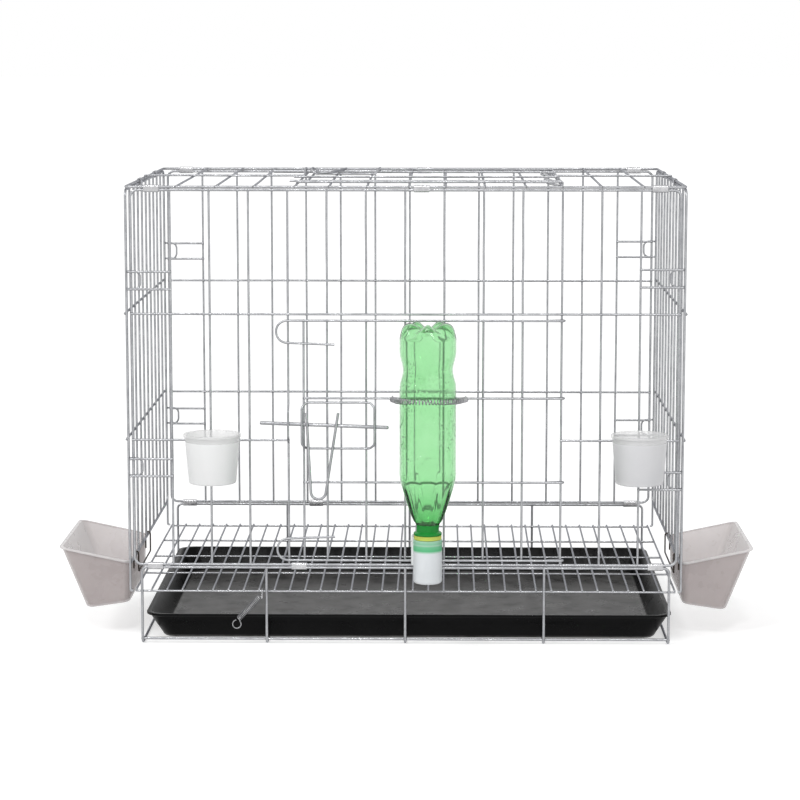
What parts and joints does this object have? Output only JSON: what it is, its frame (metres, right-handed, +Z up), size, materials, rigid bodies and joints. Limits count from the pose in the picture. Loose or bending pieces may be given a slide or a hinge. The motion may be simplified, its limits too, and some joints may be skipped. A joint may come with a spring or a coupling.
{
  "type": "collapsible pigeon cage",
  "caption": "Folding welded-wire bird cage on a stand with front and top doors, pull-out tray, inverted bottle drinker, water cups and outside feed troughs.",
  "frame": {"origin": "middle of the stand on the surface that it stands on, on the middle runner's flat underside", "axes": "+X to the right along the front, +Y from the front to the back, +Z up; the front faces -Y"},
  "size_m": [0.7788, 0.4807, 0.5177],
  "materials": {
    "zinc_wire": "bright zinc-plated steel wire",
    "clip_steel": "bright zinc-plated sheet",
    "spring_steel": "drawn spring wire",
    "black_plastic": "satin black moulding",
    "green_plastic": "clear green blown plastic",
    "ring_plastic": "satin moulding",
    "white_plastic": "milky moulding",
    "clear_plastic": "milky clear moulding",
    "rose_plastic": "milky clear moulding with a rose tint",
    "dark_wire": "dark lacquered wire"
  },
  "bodies": {
    "base": {"base_frame": "zinc_wire", "floor_grid": "zinc_wire", "tray_spring": "spring_steel", "clip_front_low_1": "clip_steel", "clip_front_low_2": "clip_steel", "clip_front_low_3": "clip_steel", "clip_back_low_1": "clip_steel", "clip_back_low_2": "clip_steel", "clip_back_low_3": "clip_steel"},
    "tray": {"tray": "black_plastic"},
    "back_panel": {"back_panel": "zinc_wire"},
    "front_panel": {"front_panel": "zinc_wire"},
    "top_panel": {"top_panel": "zinc_wire", "clip_front_top_1": "clip_steel", "clip_front_top_2": "clip_steel", "clip_front_top_3": "clip_steel", "clip_back_top_1": "clip_steel", "clip_back_top_2": "clip_steel", "clip_back_top_3": "clip_steel", "clip_left_1": "clip_steel", "clip_left_2": "clip_steel", "clip_right_1": "clip_steel", "clip_right_2": "clip_steel"},
    "left_side": {"left_side_panel": "zinc_wire"},
    "right_side": {"right_side_panel": "zinc_wire"},
    "front_door": {"front_door": "zinc_wire", "bottle_spring": "spring_steel"},
    "front_latch": {"front_latch": "zinc_wire"},
    "top_door": {"top_door": "zinc_wire"},
    "top_latch": {"top_latch": "zinc_wire"},
    "drinker": {"bottle": "green_plastic", "bottle_ring": "ring_plastic", "bottle_drinker": "white_plastic"},
    "left_cup": {"left_cup": "clear_plastic"},
    "right_cup": {"right_cup": "clear_plastic"},
    "left_feeder": {"left_feeder": "rose_plastic", "left_hanger": "dark_wire"},
    "right_feeder": {"right_feeder": "rose_plastic", "right_hanger": "dark_wire"}
  },
  "joints": [
    {"name": "back_fold", "type": "hinge", "parent": "base", "child": "back_panel", "pos_m": [0, 0.2, 0.09], "axis": [-1, 0, 0], "range_deg": [0, 86]},
    {"name": "front_fold", "type": "hinge", "parent": "base", "child": "front_panel", "pos_m": [0, -0.2, 0.09], "axis": [-1, 0, 0], "range_deg": [0, 86]},
    {"name": "top_fold", "type": "hinge", "parent": "back_panel", "child": "top_panel", "pos_m": [0, 0.2, 0.505], "axis": [1, 0, 0], "range_deg": [0, 86]},
    {"name": "left_side_swing", "type": "hinge", "parent": "top_panel", "child": "left_side", "pos_m": [-0.3055, 0, 0.505], "axis": [0, 1, 0], "range_deg": [0, 86]},
    {"name": "right_side_swing", "type": "hinge", "parent": "top_panel", "child": "right_side", "pos_m": [0.3055, 0, 0.505], "axis": [0, -1, 0], "range_deg": [0, 86]},
    {"name": "front_door_hinge", "type": "hinge", "parent": "front_panel", "child": "front_door", "pos_m": [0.17143, -0.2, 0.23], "axis": [0, 0, 1], "range_deg": [0, 120]},
    {"name": "front_latch_slide", "type": "slide", "parent": "front_door", "child": "front_latch", "axis": [1, 0, 0], "range_m": [0, 0.036]},
    {"name": "top_door_hinge", "type": "hinge", "parent": "top_panel", "child": "top_door", "pos_m": [0.17139, 0, 0.5083], "axis": [0, 1, 0], "range_deg": [0, 115]},
    {"name": "top_latch_slide", "type": "slide", "parent": "top_door", "child": "top_latch", "axis": [1, 0, 0], "range_m": [0, 0.036]},
    {"name": "tray_slide", "type": "slide", "parent": "base", "child": "tray", "axis": [1, 0, 0], "range_m": [0, 0.6]},
    {"name": "drinker_lift", "type": "slide", "parent": "front_door", "child": "drinker", "axis": [0, 0, 1], "range_m": [0, 0.05]},
    {"name": "left_cup_lift", "type": "slide", "parent": "front_panel", "child": "left_cup", "axis": [0, 0, 1], "range_m": [0, 0.1]},
    {"name": "right_cup_lift", "type": "slide", "parent": "front_panel", "child": "right_cup", "axis": [0, 0, 1], "range_m": [0, 0.1]},
    {"name": "left_feeder_lift", "type": "slide", "parent": "left_side", "child": "left_feeder", "axis": [0, 0, 1], "range_m": [0, 0.1]},
    {"name": "right_feeder_lift", "type": "slide", "parent": "right_side", "child": "right_feeder", "axis": [0, 0, 1], "range_m": [0, 0.1]}
  ],
  "couplings": [
    {"joint": "front_fold", "follows": "back_fold", "ratio": 1},
    {"joint": "top_fold", "follows": "back_fold", "ratio": 1},
    {"joint": "left_side_swing", "follows": "back_fold", "ratio": 1},
    {"joint": "right_side_swing", "follows": "back_fold", "ratio": 1}
  ]
}
